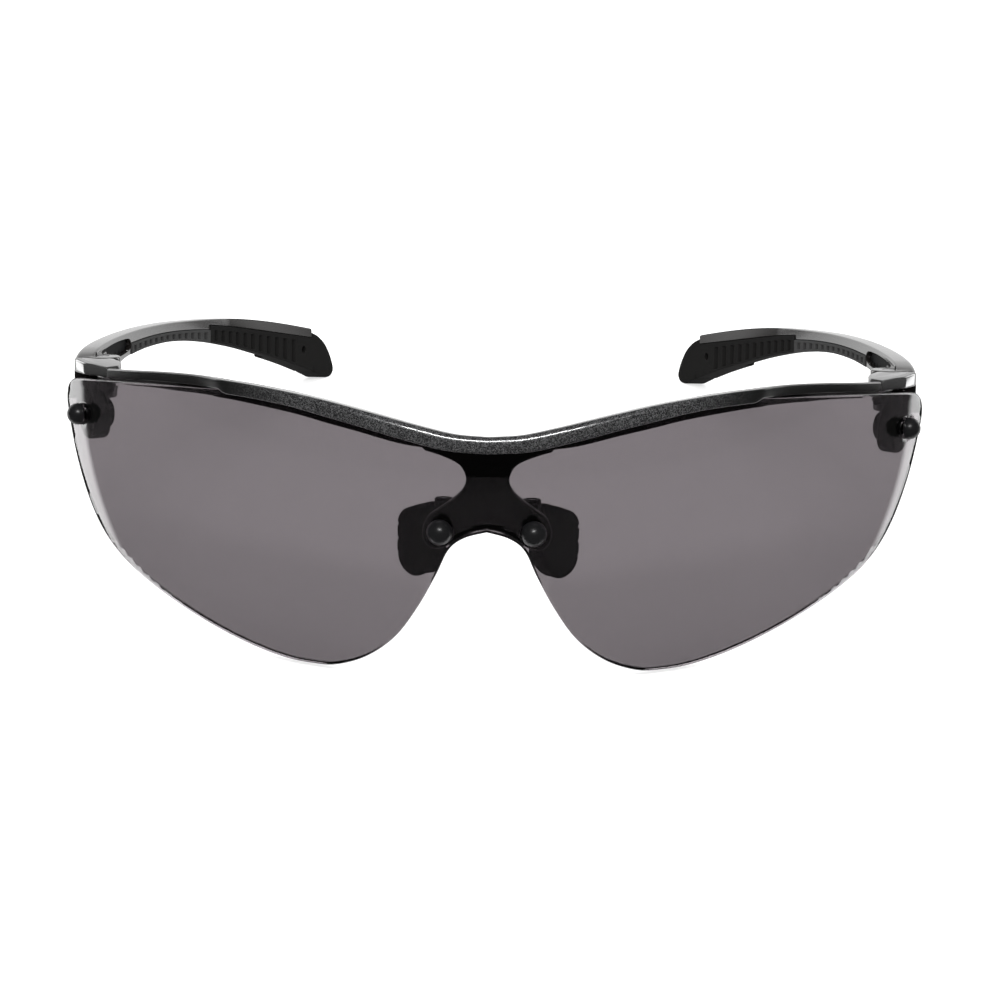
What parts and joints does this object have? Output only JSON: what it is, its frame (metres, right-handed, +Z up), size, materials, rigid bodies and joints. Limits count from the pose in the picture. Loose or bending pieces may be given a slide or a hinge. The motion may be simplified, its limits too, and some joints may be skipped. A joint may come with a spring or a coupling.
{
  "type": "safety glasses",
  "caption": "Wrap-around safety glasses: one smoked lens on a slim brow bar, with adjustable nose pads, folding temples with ribbed soft liners, and cord holes in the tips.",
  "frame": {"origin": "middle of the box's base, on the surface that the glasses stand on", "axes": "+X to the wearer's left, +Y back along the temples, +Z up. The open glasses stand on the lens's two lowest points and on the temple tips, so the wearing position leans back by 12.0 degrees."},
  "size_m": [0.1428, 0.153, 0.0464],
  "materials": {
    "smoked_lens": "polished",
    "gunmetal_frame": "satin",
    "black_nylon": "satin",
    "satin_black_stud": "satin",
    "soft_black_rubber": "matte",
    "gloss_black_arm": "gloss",
    "pad_wire": "satin",
    "hinge_screw": "satin",
    "hinge_washer": "satin"
  },
  "bodies": {
    "front": {"lens": "smoked_lens", "brow_bar": "gunmetal_frame", "nose_bridge": "black_nylon", "nose_stud_left": "satin_black_stud", "nose_stud_right": "satin_black_stud", "end_piece_left": "gunmetal_frame", "end_piece_right": "gunmetal_frame", "side_stud_left": "satin_black_stud", "side_stud_right": "satin_black_stud", "hinge_washer_left": "hinge_washer", "hinge_washer_right": "hinge_washer"},
    "temple_left": {"temple_arm_left": "gloss_black_arm", "temple_liner_left": "soft_black_rubber", "temple_tip_left": "soft_black_rubber", "hinge_screw_left": "hinge_screw"},
    "temple_right": {"temple_arm_right": "gloss_black_arm", "temple_liner_right": "soft_black_rubber", "temple_tip_right": "soft_black_rubber", "hinge_screw_right": "hinge_screw"},
    "pad_left": {"nose_pad_left": "soft_black_rubber", "nose_pad_arm_left": "pad_wire"},
    "pad_right": {"nose_pad_right": "soft_black_rubber", "nose_pad_arm_right": "pad_wire"}
  },
  "joints": [
    {"name": "fold_left", "type": "hinge", "parent": "front", "child": "temple_left", "pos_m": [0.066, -0.02642, 0.03484], "axis": [0, 0.2081, 0.9781], "range_deg": [0, 84]},
    {"name": "fold_right", "type": "hinge", "parent": "front", "child": "temple_right", "pos_m": [-0.066, -0.02642, 0.03484], "axis": [0, -0.2081, -0.9781], "range_deg": [0, 72]},
    {"name": "splay_left", "type": "hinge", "parent": "front", "child": "pad_left", "pos_m": [0.0069, -0.06814, 0.02711], "axis": [0, 0.2081, 0.9781], "range_deg": [-12, 12]},
    {"name": "splay_right", "type": "hinge", "parent": "front", "child": "pad_right", "pos_m": [-0.0069, -0.06814, 0.02711], "axis": [0, -0.2081, -0.9781], "range_deg": [-12, 12]}
  ]
}
